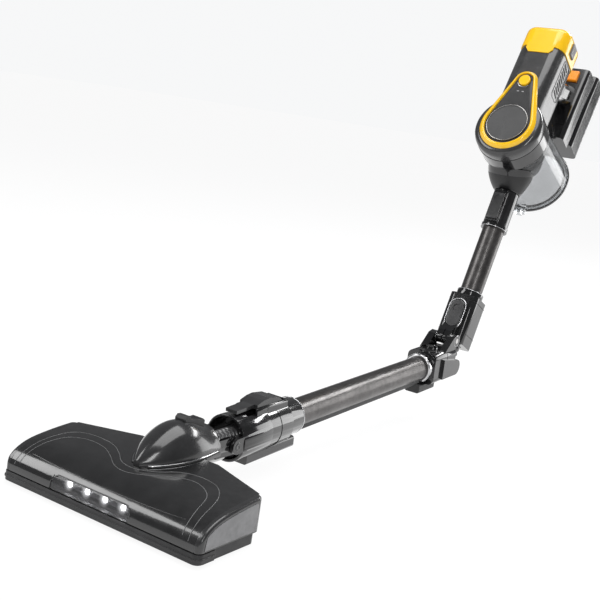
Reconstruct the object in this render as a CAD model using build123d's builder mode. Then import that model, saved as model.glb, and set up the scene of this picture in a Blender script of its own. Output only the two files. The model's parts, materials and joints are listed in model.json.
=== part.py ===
"""Cordless stick vacuum with a folding wand, as an assembly of separate pieces.

Millimetres, +Z up. The origin is on the floor under the middle of the floor head's sole.
The head faces -Y, the wand runs back along +Y, folds up at the knee and carries the hand unit.
"""
import os
from math import cos, radians, sin, tan

from build123d import *

os.makedirs("parts", exist_ok=True)

# Floor head
HEAD_W = 250.0          # width
FRONT_Y = -60.0         # straight front edge
END_Y = 28.0            # rear edge at the two ends
MID_Y = 54.0            # rear edge in the middle
MID_HALF = 50.0         # half width of the straight middle part of the rear edge
SOLE_Z = 2.0            # sole above the floor
BASE_TOP = 14.0         # joint between base and cover
WALL = 2.5
ROLL_Y, ROLL_Z = -20.0, 18.5
CORE_R, BRISTLE_R, CHAMBER_R = 11.0, 16.5, 18.0
CHAMBER_X0, CHAMBER_X1 = -113.0, 99.0
PULLEY_X0, PULLEY_X1 = 103.0, 109.0
PULLEY_R, MOTOR_PULLEY_R = 9.0, 6.0
MOTOR_Y, MOTOR_Z = 12.5, 28.0
MOTOR_R = 12.0
WHEEL_R, WHEEL_X, WHEEL_Y = 11.0, 55.0, 34.0

# Neck
NECK_Y, NECK_Z = 118.0, 48.0     # pivot of the wand on the swivel barrel
BARREL_R = 20.5
PIN_R = 3.0

# Wand
LOW_PITCH = 3.4         # lower tube above level
UP_PITCH = 65.9         # upper tube above level
HAND_PITCH = 60.0       # motor barrel above level
TUBE_R, TUBE_WALL = 16.0, 1.1
LOW_START, LOW_END = 127.0, 432.0
KNEE_D, KNEE_H = 502.0, 32.0     # knee axis, along and above the lower tube's centre line
KNEE_BACK = 82.6        # knee axis to the start of the visible upper tube
UP_LEN = 104.5
KNUCKLE_R = 8.0

# Hand unit
CUP_D = 120.0           # cup axis, along the barrel from the inlet
TOP_T = 92.0            # top face above the inlet's centre
BAND_T0, BAND_T1 = 48.0, 73.0
CUP_R, CUP_FOOT, CUP_T0 = 48.0, 54.0, -58.0     # flared from its mouth to its foot
HINGE_D, HINGE_T = 60.0, -54.0
LATCH_D, LATCH_T = 178.6, -46.0
BARREL_T, HOUSING_R = 58.0, 34.0
BARREL_END = 258.0
BARREL_CORNER = 17.0
DOCK_T0, DOCK_T1 = -78.0, -44.0
DOCK_D, PACK_D = 190.0, 200.0

FIT = 0.06              # running clearance on a radius
GAP = 0.3               # gap between pieces that move past each other


def mid_frame(y, z, pitch):
    """Frame in the mid plane: local x runs along the piece, local y stands up from it."""
    c, s = cos(radians(pitch)), sin(radians(pitch))
    return Plane(origin=(0, y, z), x_dir=(0, c, s), z_dir=(1, 0, 0))


def along(frame, d, h=0.0):
    """Plane square to a frame's long direction; extruding runs along it."""
    return Plane(frame.from_local_coords((d, h, 0)), x_dir=(-1, 0, 0), z_dir=frame.x_dir)


def above(frame, h, d=0.0):
    """Plane facing up from a frame at height h; sketch x = right, sketch y = along."""
    return Plane(frame.from_local_coords((d, h, 0)), x_dir=(1, 0, 0), z_dir=frame.y_dir)


def rod(plane, radius, length, mode=Mode.ADD, at=(0, 0)):
    """Round bar standing on a plane."""
    with BuildSketch(plane) as s:
        with Locations(at):
            Circle(radius)
    extrude(s.sketch, amount=length, mode=mode)


def bar(plane, width, height, length, mode=Mode.ADD, at=(0, 0), corner=0.0):
    """Rectangular bar standing on a plane, with rounded corners if asked."""
    with BuildSketch(plane) as s:
        with Locations(at):
            if corner:
                RectangleRounded(width, height, corner)
            else:
                Rectangle(width, height)
    extrude(s.sketch, amount=length, mode=mode)


def cheek(frame, points, x0, x1, mode=Mode.ADD, mirrored=False, disc=None):
    """Side-view outline made solid between two distances from the mid plane."""
    with BuildSketch(frame.offset(x0)) as s:
        if points:
            with BuildLine():
                Polyline(*points, close=True)
            make_face()
        if disc:
            with Locations(disc[:2]):
                Circle(disc[2])
    extrude(s.sketch, amount=x1 - x0, mode=mode)
    if mirrored:
        with BuildSketch(frame.offset(-x1)) as m:
            if points:
                with BuildLine():
                    Polyline(*points, close=True)
                make_face()
            if disc:
                with Locations(disc[:2]):
                    Circle(disc[2])
        extrude(m.sketch, amount=x1 - x0, mode=mode)


def save(piece, name):
    """Label a finished piece and write it to its own file."""
    piece.part.label = name
    export_step(piece.part, f"parts/{name}.step")


HEAD = mid_frame(0, 0, 0)
NECK = mid_frame(NECK_Y, NECK_Z, 0)
LOW = mid_frame(NECK_Y, NECK_Z, LOW_PITCH)
KNEE = LOW.from_local_coords((KNEE_D, KNEE_H, 0))
_knee = mid_frame(KNEE.Y, KNEE.Z, UP_PITCH)
_start = _knee.from_local_coords((KNEE_BACK, -KNEE_H, 0))
UP = mid_frame(_start.Y, _start.Z, UP_PITCH)
_end = UP.from_local_coords((UP_LEN, 0, 0))
HAND = mid_frame(_end.Y, _end.Z, HAND_PITCH)


# ---------------------------------------------------------------- floor head
def plan(inset=0.0, z=0.0, corner=7.0):
    """Outline of the head from above, drawn in by an inset."""
    w = HEAD_W / 2 - inset
    with BuildSketch(Plane.XY.offset(z)) as s:
        with BuildLine():
            Polyline((-w, FRONT_Y + inset), (w, FRONT_Y + inset), (w, END_Y - inset),
                     (MID_HALF, MID_Y - inset), (-MID_HALF, MID_Y - inset),
                     (-w, END_Y - inset), close=True)
        make_face()
        fillet(s.vertices(), radius=corner)
    return s.sketch


def crown(inset=0.0, x=0.0):
    """Side view of the cover: a convex nose running into a gently rising top."""
    with BuildSketch(Plane.YZ.offset(x)) as s:
        with BuildLine():
            front = FRONT_Y + 1.2 + inset
            rear = MID_Y + 6
            nose = Spline((front, BASE_TOP), (front + 2.6, 25.5 - inset), (-42, 36.8 - inset),
                          (-18, 43.2 - inset), (24, 47.8 - inset), (rear, 50.2 - inset))
            Polyline(nose @ 1, (rear, BASE_TOP), (front, BASE_TOP))
        make_face()
    return s.sketch


with BuildPart() as cavity:
    extrude(crown(WALL, -117), amount=234)
    extrude(plan(WALL + 0.6, 0), amount=60, mode=Mode.INTERSECT)

with BuildPart() as head_cover:
    extrude(crown(0, -118), amount=236)
    extrude(plan(0.6, 0), amount=60, mode=Mode.INTERSECT)
    add(cavity.part, mode=Mode.SUBTRACT)
    # window opening for the lamps, left of the middle
    bar(Plane.XZ.offset(46), 100, 13.4, 14.5, mode=Mode.SUBTRACT, at=(-10, 20.5))
    # opening for the neck socket under the dome
    rod(along(HEAD, 28, NECK_Z), 26.2, 40, mode=Mode.SUBTRACT)
    bar(Plane.XY.offset(BASE_TOP), 52.4, 32, 36, mode=Mode.SUBTRACT, at=(0, 44))
save(head_cover, "head_cover")

with BuildPart() as head_base:
    extrude(plan(3.0, SOLE_Z), amount=BASE_TOP - SOLE_Z)
    with BuildSketch(Plane.XY.offset(SOLE_Z + 2.5)) as bay:
        add(plan(5.5, SOLE_Z + 2.5, 5.0))
    extrude(bay.sketch, amount=20, mode=Mode.SUBTRACT)
    # brush tunnel over the roll, closed at both ends
    rod(Plane.YZ.offset(CHAMBER_X0 - 2), CHAMBER_R + 2, CHAMBER_X1 - CHAMBER_X0 + 4,
        at=(ROLL_Y, ROLL_Z))
    bar(Plane.XY.offset(SOLE_Z), CHAMBER_X1 - CHAMBER_X0 + 4, 2 * CHAMBER_R + 4, ROLL_Z - SOLE_Z,
        at=((CHAMBER_X0 + CHAMBER_X1) / 2, ROLL_Y))
    # suction passage from the tunnel back to the neck socket
    bar(Plane.XY.offset(SOLE_Z), 44, 46, 30, at=(0, 25))
    bar(Plane.XY.offset(BASE_TOP), 50, 18, NECK_Z - BASE_TOP, at=(0, 45))
    rod(along(HEAD, 36, NECK_Z), 25, 18)
    rod(Plane.YZ.offset(CHAMBER_X0), CHAMBER_R, CHAMBER_X1 - CHAMBER_X0, mode=Mode.SUBTRACT,
        at=(ROLL_Y, ROLL_Z))
    bar(Plane.XY, CHAMBER_X1 - CHAMBER_X0, 2 * CHAMBER_R - 3, ROLL_Z, mode=Mode.SUBTRACT,
        at=((CHAMBER_X0 + CHAMBER_X1) / 2, ROLL_Y))
    bar(Plane.XZ.offset(12), 36, 22, -46, mode=Mode.SUBTRACT, at=(0, 19.5))
    rod(along(HEAD, 33, NECK_Z), BARREL_R + FIT, 24, mode=Mode.SUBTRACT)
    bar(Plane.XY.offset(18), 30, 20, 26, mode=Mode.SUBTRACT, at=(0, 28))
    # seats for the roll's stub shafts
    rod(Plane.YZ.offset(CHAMBER_X1 - 1), 3 + FIT, 4, mode=Mode.SUBTRACT, at=(ROLL_Y, ROLL_Z))
    rod(Plane.YZ.offset(CHAMBER_X0 - 3), 3 + FIT, 4, mode=Mode.SUBTRACT, at=(ROLL_Y, ROLL_Z))
    # wheel arches with walls, open to the floor
    for sx in (-1, 1):
        bar(Plane.XY.offset(SOLE_Z), 18, 20, 21.5, at=(sx * WHEEL_X, WHEEL_Y))
        bar(Plane.XY, 12, 24.4, 22.5, mode=Mode.SUBTRACT, at=(sx * WHEEL_X, WHEEL_Y))
        rod(Plane.YZ.offset(sx * WHEEL_X - 9), 2, 18, mode=Mode.SUBTRACT,
            at=(WHEEL_Y, WHEEL_R))
    # flat sole: nothing of the tunnel or arch walls hangs below it
    bar(Plane.XY.offset(-10), 300, 200, 10 + SOLE_Z, mode=Mode.SUBTRACT)
    # glide strips on the sole that slide on the floor
    for sx in (-1, 1):
        bar(Plane.XY, 14, 3, SOLE_Z + 0.1, at=(sx * 70, -50.5))
    bar(Plane.XY, 60, 5, SOLE_Z + 0.1, at=(0, 1))
    # small drain slots in the front lip and a rear tail under the neck
    for sx in (-1, 1):
        bar(Plane.XY, 9, 3.2, 10, mode=Mode.SUBTRACT, at=(sx * 106, -52.8))
    cheek(HEAD, [(50, SOLE_Z + 3), (72, 9), (74, 15), (70, 19), (50, 24)], -24, 24)
    # motor cradle
    for x0 in (68, 84):
        bar(Plane.YZ.offset(x0), 18, 17, 4, at=(MOTOR_Y, 12))
    rod(Plane.YZ.offset(36), MOTOR_R, 60, mode=Mode.SUBTRACT, at=(MOTOR_Y, MOTOR_Z))
    rod(along(HEAD, 31.6, NECK_Z), 23.4, 4.4, mode=Mode.SUBTRACT)
save(head_base, "head_base")

with BuildPart() as bumper:
    extrude(plan(0.0, 3.4), amount=9.6)
    with BuildSketch(Plane.XY.offset(7.0)) as ridge:
        add(plan(-1.0, 7.0, 8.0))
    extrude(ridge.sketch, amount=2.0)
    extrude(plan(3.0, 0), amount=30, mode=Mode.SUBTRACT)
    # the strip wraps the front corners and stops short of the rear
    bar(Plane.XY, HEAD_W + 20, 120, 30, mode=Mode.SUBTRACT, at=(0, -36 + 60))
save(bumper, "bumper")

with BuildPart() as side_covers:
    for x0 in (118.1, -124.6):
        extrude(crown(0, x0), amount=6.5)
    extrude(plan(0.4, 0), amount=60, mode=Mode.INTERSECT)
    fillet(side_covers.edges().filter_by(lambda e: abs(abs(e.center().X) - 124.6) < 0.01
           and e.center().Z > 30), radius=3.0)
save(side_covers, "side_covers")

with BuildPart() as led_window:
    extrude(crown(0.35, -59.8), amount=99.6)
    bar(Plane.XZ.offset(50), 99.6, 13.0, 12, mode=Mode.INTERSECT, at=(-10, 20.6))
save(led_window, "led_window")

with BuildPart() as led_lights:
    bar(Plane.XZ.offset(45.3), 92, 9, 1.6, at=(-10, 21.5))
    for i in range(4):
        rod(Plane.XZ.offset(46.8), 2.6, 2.0, at=(-43 + i * 23, 21.5))
save(led_lights, "led_lights")

DOME = ((-9, 4, 5), (4, 16, 17), (20, 25, 28), (42, 30, 35.5), (62, 29.5, 33), (88, 25.6, 25.8))


def dome_form(thin):
    """Lofted teardrop over the neck."""
    with BuildPart(mode=Mode.PRIVATE) as form:
        for i, (y, rx, rz) in enumerate(DOME):
            shift = thin * 2.4 if i == 0 else (1 if i == len(DOME) - 1 and thin else 0)
            with BuildSketch(Plane((0, y + shift, 46), x_dir=(1, 0, 0), z_dir=(0, 1, 0))):
                Ellipse(rx - thin, rz - thin)
        loft()
    return form.part


with BuildPart() as neck_dome:
    add(dome_form(0))
    add(dome_form(2.0), mode=Mode.SUBTRACT)
    extrude(crown(-0.25, -80), amount=160, mode=Mode.SUBTRACT)
    bar(Plane.XY.offset(-10), 160, 200, 54.5, mode=Mode.SUBTRACT)
save(neck_dome, "neck_dome")

with BuildPart() as park_clip:
    # two small hooks joined by a strip on the dome's crest
    cheek(HEAD, [(48, 76), (48, 83.6), (51, 86.5), (56, 86), (56, 82.8), (72, 80.4), (76, 80.8),
                 (79, 78.6), (79, 68), (48, 74)], -7, 7)
    for x0 in (-7.5, 2.5):
        bar(Plane.XY.offset(80.5), 5, 12, 10, mode=Mode.SUBTRACT, at=(0, 66))
    add(dome_form(0), mode=Mode.SUBTRACT)
save(park_clip, "park_clip")

with BuildPart() as brush_motor:
    rod(Plane.YZ.offset(36), MOTOR_R, 58, at=(MOTOR_Y, MOTOR_Z))
    rod(Plane.YZ.offset(94), 5.0, 2, at=(MOTOR_Y, MOTOR_Z))
    rod(Plane.YZ.offset(80), 1.5 + FIT, 16.5, mode=Mode.SUBTRACT, at=(MOTOR_Y, MOTOR_Z))
save(brush_motor, "brush_motor")

with BuildPart() as motor_pulley:
    rod(Plane.YZ.offset(PULLEY_X0), MOTOR_PULLEY_R, PULLEY_X1 - PULLEY_X0, at=(MOTOR_Y, MOTOR_Z))
    rod(Plane.YZ.offset(82), 1.5, 22, at=(MOTOR_Y, MOTOR_Z))
    for x0 in (PULLEY_X0 - 0.8, PULLEY_X1):
        rod(Plane.YZ.offset(x0), MOTOR_PULLEY_R + 2, 0.8, at=(MOTOR_Y, MOTOR_Z))
save(motor_pulley, "motor_pulley")

with BuildPart() as drive_belt:
    for grow, how in ((1.4, Mode.ADD), (0.08, Mode.SUBTRACT)):
        with BuildSketch(Plane.YZ.offset(PULLEY_X0 + 0.6)) as loop:
            with Locations((MOTOR_Y, MOTOR_Z)):
                Circle(MOTOR_PULLEY_R + grow)
            with Locations((ROLL_Y, ROLL_Z)):
                Circle(PULLEY_R + grow)
            make_hull()
        extrude(loop.sketch, amount=PULLEY_X1 - PULLEY_X0 - 1.2, mode=how)
save(drive_belt, "drive_belt")

with BuildPart() as brush_roll:
    rod(Plane.YZ.offset(CHAMBER_X0 + 1), CORE_R, CHAMBER_X1 - CHAMBER_X0 - 2, at=(ROLL_Y, ROLL_Z))
    rod(Plane.YZ.offset(CHAMBER_X0 - 1.5), 3.0, PULLEY_X1 - CHAMBER_X0 + 2, at=(ROLL_Y, ROLL_Z))
    rod(Plane.YZ.offset(PULLEY_X0), PULLEY_R, PULLEY_X1 - PULLEY_X0, at=(ROLL_Y, ROLL_Z))
save(brush_roll, "brush_roll")

with BuildPart() as brush_bristles:
    # three rows of tufts wrapped once round the core
    for row in range(3):
        for i in range(25):
            turn = row * 120 + i * 11.0
            spot = Plane((CHAMBER_X0 + 6 + i * 8.3, ROLL_Y, ROLL_Z), x_dir=(1, 0, 0),
                         z_dir=(0, cos(radians(turn)), sin(radians(turn))))
            bar(spot.offset(CORE_R - 0.6), 6.5, 2.2, BRISTLE_R - CORE_R + 0.6)
    rod(Plane.YZ.offset(CHAMBER_X0), CORE_R, CHAMBER_X1 - CHAMBER_X0, mode=Mode.SUBTRACT,
        at=(ROLL_Y, ROLL_Z))
save(brush_bristles, "brush_bristles")

for side, sx in (("left", -1), ("right", 1)):
    with BuildPart() as wheel:
        rod(Plane.YZ.offset(sx * WHEEL_X - 5), WHEEL_R, 10, at=(WHEEL_Y, WHEEL_R))
        fillet(wheel.edges().filter_by(GeomType.CIRCLE), radius=1.2)
        for x0 in (-5.1, 3.6):
            rod(Plane.YZ.offset(sx * WHEEL_X + x0), 7.5, 1.5, mode=Mode.SUBTRACT,
                at=(WHEEL_Y, WHEEL_R))
        rod(Plane.YZ.offset(sx * WHEEL_X - 6), 2 + FIT, 12, mode=Mode.SUBTRACT,
            at=(WHEEL_Y, WHEEL_R))
    save(wheel, f"rear_wheel_{side}")

with BuildPart() as wheel_axles:
    for sx in (-1, 1):
        rod(Plane.YZ.offset(sx * WHEEL_X - 8.8), 2, 17.6, at=(WHEEL_Y, WHEEL_R))
save(wheel_axles, "wheel_axles")

# ---------------------------------------------------------------- neck
with BuildPart() as swivel_barrel:
    rod(along(HEAD, 32, NECK_Z), 23.0, 3.7)
    rod(along(HEAD, 32, NECK_Z), BARREL_R, 76)
    rod(along(HEAD, 31, NECK_Z), BARREL_R - 3, 78, mode=Mode.SUBTRACT)
    # open trough behind the dome
    bar(Plane.XY.offset(NECK_Z + 2), 60, 20, 40, mode=Mode.SUBTRACT, at=(0, 104))
    cheek(NECK, [(-30, -9.5), (0, -9.5), (0, 9.5), (-30, 9.5)], 15.2, 20.0, mirrored=True)
    cheek(NECK, None, 15.2, 20.0, mirrored=True, disc=(0, 0, 9.5))
    cheek(NECK, None, -30, 30, mode=Mode.SUBTRACT, disc=(0, 0, PIN_R))
save(swivel_barrel, "swivel_barrel")

with BuildPart() as pivot_pins:
    for x0 in (14.4, -24.9):
        rod(Plane.YZ.offset(x0), PIN_R, 10.5, at=(NECK_Y, NECK_Z))
save(pivot_pins, "pivot_pins")

with BuildPart() as neck_hose:
    rod(along(LOW, -30), 9.6, 70)
    for i in range(13):
        rod(along(LOW, -29 + i * 5.0), 11.4, 2.4)
    rod(along(LOW, -31), 8.4, 72, mode=Mode.SUBTRACT)
save(neck_hose, "neck_hose")

# ---------------------------------------------------------------- wand connector
with BuildPart() as wand_connector:
    rod(along(LOW, 10), 26, 50)
    rod(along(LOW, 60), 25, 40)
    rod(along(LOW, 100), 21.6, LOW_START - 100)
    bar(along(LOW, 42), 30, 12, 56, at=(0, 23), corner=3)
    cheek(LOW, [(0, -8.5), (16, -8.5), (16, 8.5), (0, 8.5)], 20.6, 24.9, mirrored=True)
    cheek(LOW, None, 20.6, 24.9, mirrored=True, disc=(0, 0, 8.5))
    rod(along(LOW, 9), 23.4, 29, mode=Mode.SUBTRACT)
    rod(along(LOW, 37), 11.9, 4.1, mode=Mode.SUBTRACT)
    rod(along(LOW, 41), 14.0, 26, mode=Mode.SUBTRACT)
    rod(along(LOW, 66), TUBE_R + FIT, 70, mode=Mode.SUBTRACT)
    cheek(LOW, None, -30, 30, mode=Mode.SUBTRACT, disc=(0, 0, PIN_R + FIT))
    # well for the latch
    bar(along(LOW, 30), 24.6, 16, 66, mode=Mode.SUBTRACT, at=(0, 28.2))
    bar(along(LOW, 9), 17.0, 16, 22, mode=Mode.SUBTRACT, at=(0, 33.6))
    cheek(LOW, None, -16, 16, mode=Mode.SUBTRACT, disc=(60, 25.5, 1.5 + FIT))
save(wand_connector, "wand_connector")

with BuildPart() as connector_latch:
    cheek(LOW, [(15, 27.2), (15, 30.8), (44, 31.8), (56, 35.2), (66, 36.0), (84, 33.6), (92, 28),
                (93, 23.5), (70, 21.6), (50, 24.5), (44, 28.0)], -12, 12)
    bar(along(LOW, 14), 10, 12, 31, mode=Mode.SUBTRACT, at=(12.5, 30))
    bar(along(LOW, 14), 10, 12, 31, mode=Mode.SUBTRACT, at=(-12.5, 30))
    # thumb dimple and the two stub pins it rocks on
    rod(above(LOW, 35.0, 80), 6.0, 8, mode=Mode.SUBTRACT)
    for x0 in (-14.8, 12):
        rod(LOW.offset(x0), 1.5, 2.8, at=(60, 25.5))
save(connector_latch, "connector_latch")

with BuildPart() as contact_box:
    bar(along(LOW, 34), 26, 13, 88, at=(0, -27), corner=3)
    rod(along(LOW, 30), 26, 30, mode=Mode.SUBTRACT)
    rod(along(LOW, 59), 25, 41, mode=Mode.SUBTRACT)
    rod(along(LOW, 99), 21.6, 40, mode=Mode.SUBTRACT)
    bar(along(LOW, 112), 14.8, 6, 20, mode=Mode.SUBTRACT, at=(0, -18))
save(contact_box, "contact_box")

# ---------------------------------------------------------------- lower wand
with BuildPart() as lower_tube:
    rod(along(LOW, 70), TUBE_R, 390)
    rod(along(LOW, 69), TUBE_R - TUBE_WALL, 392, mode=Mode.SUBTRACT)
save(lower_tube, "lower_tube")

with BuildPart() as cable_channel:
    bar(along(LOW, LOW_START + 0.6), 14, 9, LOW_END - LOW_START - 2, at=(0, -16.2), corner=2)
    bar(along(LOW, LOW_END - 8), 22, 13, 44, at=(0, -26.5), corner=3)
    rod(along(LOW, 100), TUBE_R, 400, mode=Mode.SUBTRACT)
    bar(along(LOW, 429.5), 50, 44, 80, mode=Mode.SUBTRACT)
save(cable_channel, "cable_channel")

with BuildPart() as lower_collar:
    rod(along(LOW, 430), 20, 11)
    chamfer(lower_collar.edges().filter_by(GeomType.CIRCLE).sort_by(Axis.Y)[0], 1.5)
    rod(along(LOW, 429), TUBE_R, 13, mode=Mode.SUBTRACT)
save(lower_collar, "lower_collar")


def knee_block(frame, lo, hi, tube_start):
    """Rounded block between two stations, bored for the hose and for the tube's end."""
    bar(along(frame, lo), 44, 44, hi - lo, corner=9)
    rod(along(frame, lo - 1), 13.5, hi - lo + 2, mode=Mode.SUBTRACT)
    rod(along(frame, tube_start), TUBE_R, 21, mode=Mode.SUBTRACT)


with BuildPart() as knee_lower:
    knee_block(LOW, 441, KNEE_D - 0.5, 440)
    link = [(470, 20), (492, 38), (KNEE_D, KNEE_H + 8), (KNEE_D, KNEE_H - 8), (KNEE_D - 0.5, 20)]
    cheek(LOW, link, 10.3, 20.5, mirrored=True)
    cheek(LOW, None, 10.3, 20.5, mirrored=True, disc=(KNEE_D, KNEE_H, KNUCKLE_R))
    # rounded side ears that run past the joint
    cheek(LOW, [(462, -16), (500, -16), (500, 6), (462, 12)], 21.5, 25.4, mirrored=True)
    cheek(LOW, None, 22.5, 25.4, mirrored=True, disc=(501, -5, 11))
    # half-round thumb dish on the top
    rod(above(LOW, 21, 458), 12.5, 5.5)
    rod(above(LOW, 23.5, 458), 10.8, 8, mode=Mode.SUBTRACT)
    bar(above(LOW, 23.5, 445), 40, 22, 8, mode=Mode.SUBTRACT)
    cheek(LOW, None, -30, 30, mode=Mode.SUBTRACT, disc=(KNEE_D, KNEE_H, 3.5))
save(knee_lower, "knee_lower")

with BuildPart() as hinge_pin:
    rod(LOW.offset(-20.5), 3.5, 41, at=(KNEE_D, KNEE_H))
save(hinge_pin, "hinge_pin")

with BuildPart() as knee_upper:
    knee_block(UP, -KNEE_BACK + 0.5, -10, -30)
    link = [(-50, 20), (-72, 38), (-KNEE_BACK, KNEE_H + 8), (-KNEE_BACK, KNEE_H - 8),
            (-KNEE_BACK + 0.5, 20)]
    cheek(UP, link, -10, 10)
    cheek(UP, None, -10, 10, disc=(-KNEE_BACK, KNEE_H, KNUCKLE_R))
    cheek(UP, [(-90, 37), (-90, 42), (-70, 42), (-70, 30), (-75, 37)], -0.6, 0.6,
          mode=Mode.SUBTRACT)
    # raised oval rim with a well for the release button
    with BuildSketch(above(UP, 20, -42)) as rim:
        SlotCenterToCenter(20, 28, rotation=90)
    extrude(rim.sketch, amount=5.5)
    with BuildSketch(above(UP, 17.2, -42)) as well:
        SlotCenterToCenter(20, 22.6, rotation=90)
    extrude(well.sketch, amount=20, mode=Mode.SUBTRACT)
    # plug box on the outside of the fold
    bar(along(UP, -78), 26, 12, 36, at=(0, -27), corner=3)
    cheek(UP, None, -30, 30, mode=Mode.SUBTRACT, disc=(-KNEE_BACK, KNEE_H, 3.5 + FIT))
save(knee_upper, "knee_upper")

with BuildPart() as knee_release:
    with BuildSketch(above(UP, 20.4, -42)) as pad:
        SlotCenterToCenter(20, 22.0, rotation=90)
    extrude(pad.sketch, amount=7.0)
    fillet(knee_release.faces().sort_by(Axis.Y)[0].edges(), radius=1.5)
    rod(above(UP, 26.2, -34), 5.5, 3, mode=Mode.SUBTRACT)
save(knee_release, "knee_release")

lower_mouth, upper_mouth = LOW.from_local_coords((470, 0, 0)), UP.from_local_coords((-50, 0, 0))
lower_lip = LOW.from_local_coords((KNEE_D + 2, 0, 0))
upper_lip = UP.from_local_coords((-KNEE_BACK - 2, 0, 0))
with BuildLine() as hose_path:
    l1 = Line(lower_mouth, lower_lip)
    l2 = Spline(lower_lip, upper_lip, tangents=[LOW.x_dir, UP.x_dir])
    l3 = Line(upper_lip, upper_mouth)

with BuildPart() as knee_hose:
    with BuildSketch(Plane(lower_mouth, x_dir=(1, 0, 0), z_dir=LOW.x_dir)) as ring:
        Circle(11.6)
        Circle(10.2, mode=Mode.SUBTRACT)
    sweep(ring.sketch, path=hose_path.line)
    for i in range(17):
        t = 0.03 + i * 0.94 / 16
        with BuildSketch(Plane(hose_path.line @ t, x_dir=(1, 0, 0), z_dir=hose_path.line % t)) as rib:
            Circle(13.0)
            Circle(11.0, mode=Mode.SUBTRACT)
        extrude(rib.sketch, amount=1.2, both=True)
save(knee_hose, "knee_hose")

# ---------------------------------------------------------------- upper wand
with BuildPart() as upper_tube:
    rod(along(UP, -29), TUBE_R, 142)
    rod(along(UP, -30), TUBE_R - TUBE_WALL, 144, mode=Mode.SUBTRACT)
save(upper_tube, "upper_tube")

with BuildPart() as upper_collar:
    rod(along(UP, -10), 19.5, 10)
    rod(along(UP, -11), TUBE_R, 12, mode=Mode.SUBTRACT)
save(upper_collar, "upper_collar")

with BuildPart() as wand_coupler:
    rod(along(UP, 100), 19.6, 6)
    rod(along(UP, 106), 18.6, 53)
    bar(along(UP, 107), 22, 12, 48, at=(0, 15.5), corner=2)
    rod(along(UP, 99), TUBE_R, 15, mode=Mode.SUBTRACT)
    rod(along(UP, 113), 13.8, 6, mode=Mode.SUBTRACT)
    rod(along(UP, 118), TUBE_R + FIT, 50, mode=Mode.SUBTRACT)
    bar(along(UP, 110), 18.4, 8, 42, mode=Mode.SUBTRACT, at=(0, 21.2))
save(wand_coupler, "wand_coupler")

with BuildPart() as coupler_release:
    bar(along(UP, 110.3), 17.8, 5.6, 41.4, at=(0, 21.8))
    fillet(coupler_release.edges().filter_by(Axis.X), radius=1.5)
    rod(above(UP, 23.4, 142), 5.0, 3, mode=Mode.SUBTRACT)
save(coupler_release, "coupler_release")


# ---------------------------------------------------------------- hand unit
def cup_axis(t, d=CUP_D):
    """Plane square to the dust cup's axis at height t."""
    return above(HAND, t, d)


def flare(t0, t1, grow, mode=Mode.ADD):
    """Flared solid of the cup's outline between two heights, larger by grow."""
    slope = (CUP_FOOT - CUP_R) / (BAND_T0 - GAP - CUP_T0)
    foot, mouth = (CUP_FOOT - slope * (t - CUP_T0) + grow for t in (t0, t1))
    with Locations(cup_axis(t0)):
        Cone(foot, mouth, t1 - t0, align=(Align.CENTER, Align.CENTER, Align.MIN), mode=mode)


def shell(d, grow, length, mode=Mode.ADD):
    """Rounded square bar along the motor barrel, larger by grow all round."""
    side = 2 * (HOUSING_R + grow)
    bar(along(HAND, d, BARREL_T), side, side, length, mode=mode, corner=BARREL_CORNER + grow)


def teardrop(t, big, small, length, taper=0.0, mode=Mode.ADD):
    """Outline of the top panel: a large circle over the cup running back to a small one."""
    with BuildSketch(above(HAND, t)) as s:
        with Locations((0, 121)):
            Circle(big)
        with Locations((0, 194)):
            Circle(small)
        make_hull()
    extrude(s.sketch, amount=length, taper=taper, mode=mode)


with BuildPart() as main_frame:
    # inlet hopper, from the wand up to the side of the cup
    with BuildSketch(along(UP, 160)):
        Circle(19.2)
    for d, t, rx, rt in ((75, 21.5, 32, 32), (98, 22, 38, 36)):
        with BuildSketch(along(HAND, d, t)):
            Ellipse(rx, rt)
    loft()
    rod(along(UP, 122), TUBE_R, 40)
    flare(CUP_T0 - 5, BAND_T1, 1.0, mode=Mode.SUBTRACT)
    rod(cup_axis(BAND_T1), 60, 30, mode=Mode.SUBTRACT)
    rod(cup_axis(BAND_T0), 50, BAND_T1 - BAND_T0)
    rod(cup_axis(BAND_T0 + 3), 46.5, BAND_T1, mode=Mode.SUBTRACT)
    rod(cup_axis(BAND_T0 - 1), 40, 30, mode=Mode.SUBTRACT)
    rod(along(UP, 120), 13.5, 72, mode=Mode.SUBTRACT)
save(main_frame, "main_frame")

with BuildPart() as body_housing:
    rod(cup_axis(BAND_T1), HOUSING_R + 16, TOP_T - BAND_T1)
    fillet(body_housing.faces().sort_by(Axis((0, 0, 0), HAND.y_dir))[-1].edges(), radius=9)
    shell(CUP_D + 10, 0, BARREL_END - CUP_D - 10)
    rod(cup_axis(BAND_T1), 50.3, -90, mode=Mode.SUBTRACT)
    teardrop(BAND_T1, 40, 17, TOP_T - BAND_T1)
    rod(cup_axis(BAND_T1 - 1), 47.5, TOP_T - BAND_T1 - 2, mode=Mode.SUBTRACT)
    rod(along(HAND, CUP_D + 10, BARREL_T), HOUSING_R - 2.5, BARREL_END, mode=Mode.SUBTRACT)
    rod(above(HAND, TOP_T - 1.2, 194), 8.9, 6, mode=Mode.SUBTRACT)
    # side windows for the vents
    for x0 in (20, -40):
        cheek(HAND, [(196, 44), (254, 44), (254, 66), (196, 66)], x0, x0 + 20,
              mode=Mode.SUBTRACT)
save(body_housing, "body_housing")

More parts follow.
